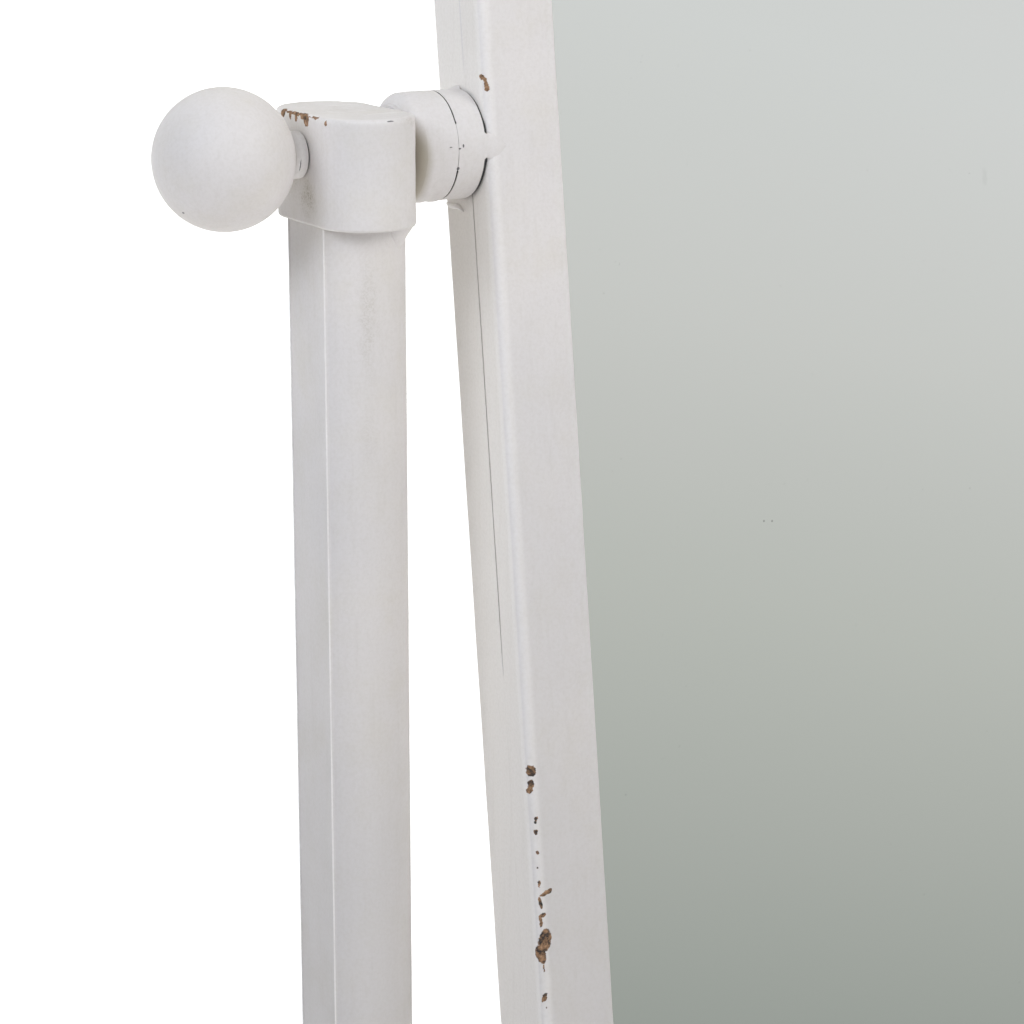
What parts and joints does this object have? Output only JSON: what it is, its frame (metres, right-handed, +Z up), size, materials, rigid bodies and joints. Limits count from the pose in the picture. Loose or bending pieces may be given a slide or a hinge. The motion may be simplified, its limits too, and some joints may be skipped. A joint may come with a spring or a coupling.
{
  "type": "cheval floor mirror",
  "caption": "Free-standing full-length mirror in a painted metal frame that tilts between two posts and is clamped by ball knobs.",
  "frame": {"origin": "on the floor, midway between the two posts", "axes": "+Z up, -Y out of the glass towards the viewer, +X to the viewer's right"},
  "size_m": [0.8116, 0.47, 1.6011],
  "materials": {
    "cream_paint": "worn satin",
    "mirror_glass": "polished",
    "backing_board": "plain hardboard",
    "zinc_steel": "zinc plated",
    "nylon": "matte",
    "pad_rubber": "matte"
  },
  "bodies": {
    "stand": {"left_post_tube": "cream_paint", "right_post_tube": "cream_paint", "left_post_cap": "cream_paint", "right_post_cap": "cream_paint", "left_fixed_collar": "cream_paint", "right_fixed_collar": "cream_paint", "left_friction_washer": "nylon", "right_friction_washer": "nylon", "left_knob_washer": "zinc_steel", "right_knob_washer": "zinc_steel", "left_foot_bar": "cream_paint", "right_foot_bar": "cream_paint", "left_foot_end_caps": "cream_paint", "right_foot_end_caps": "cream_paint", "left_foot_pads": "pad_rubber", "right_foot_pads": "pad_rubber", "post_plugs": "zinc_steel", "post_bolts": "zinc_steel", "stretcher_tube": "cream_paint", "stretcher_plugs": "zinc_steel", "stretcher_bolts": "zinc_steel"},
    "mirror": {"top_moulding_rail": "cream_paint", "bottom_moulding_rail": "cream_paint", "left_moulding_stile": "cream_paint", "right_moulding_stile": "cream_paint", "top_rear_tube_rail": "cream_paint", "bottom_rear_tube_rail": "cream_paint", "left_rear_tube_stile": "cream_paint", "right_rear_tube_stile": "cream_paint", "mirror_glass": "mirror_glass", "backing_board": "backing_board", "board_clips": "zinc_steel", "clip_screws": "zinc_steel", "left_frame_boss": "cream_paint", "right_frame_boss": "cream_paint"},
    "left_ferrule": {"left_knob_ferrule": "cream_paint"},
    "left_knob": {"left_ball_knob": "cream_paint", "left_pivot_stud": "zinc_steel"},
    "right_ferrule": {"right_knob_ferrule": "cream_paint"},
    "right_knob": {"right_ball_knob": "cream_paint", "right_pivot_stud": "zinc_steel"}
  },
  "joints": [
    {"name": "mirror_tilt", "type": "hinge", "parent": "stand", "child": "mirror", "pos_m": [0, 0, 0.9], "axis": [1, 0, 0], "continuous": true},
    {"name": "left_knob_travel", "type": "slide", "parent": "stand", "child": "left_ferrule", "axis": [-1, 0, 0], "range_m": [0, 0.0026]},
    {"name": "left_knob_turn", "type": "hinge", "parent": "left_ferrule", "child": "left_knob", "pos_m": [-0.3417, 0, 0.9], "axis": [-1, 0, 0], "range_deg": [0, 720]},
    {"name": "right_knob_travel", "type": "slide", "parent": "stand", "child": "right_ferrule", "axis": [1, 0, 0], "range_m": [0, 0.0026]},
    {"name": "right_knob_turn", "type": "hinge", "parent": "right_ferrule", "child": "right_knob", "pos_m": [0.3417, 0, 0.9], "axis": [1, 0, 0], "range_deg": [0, 720]}
  ],
  "couplings": [
    {"joint": "left_knob_travel", "follows": "left_knob_turn", "m_per_rad": 0.00019894},
    {"joint": "right_knob_travel", "follows": "right_knob_turn", "m_per_rad": 0.00019894}
  ]
}
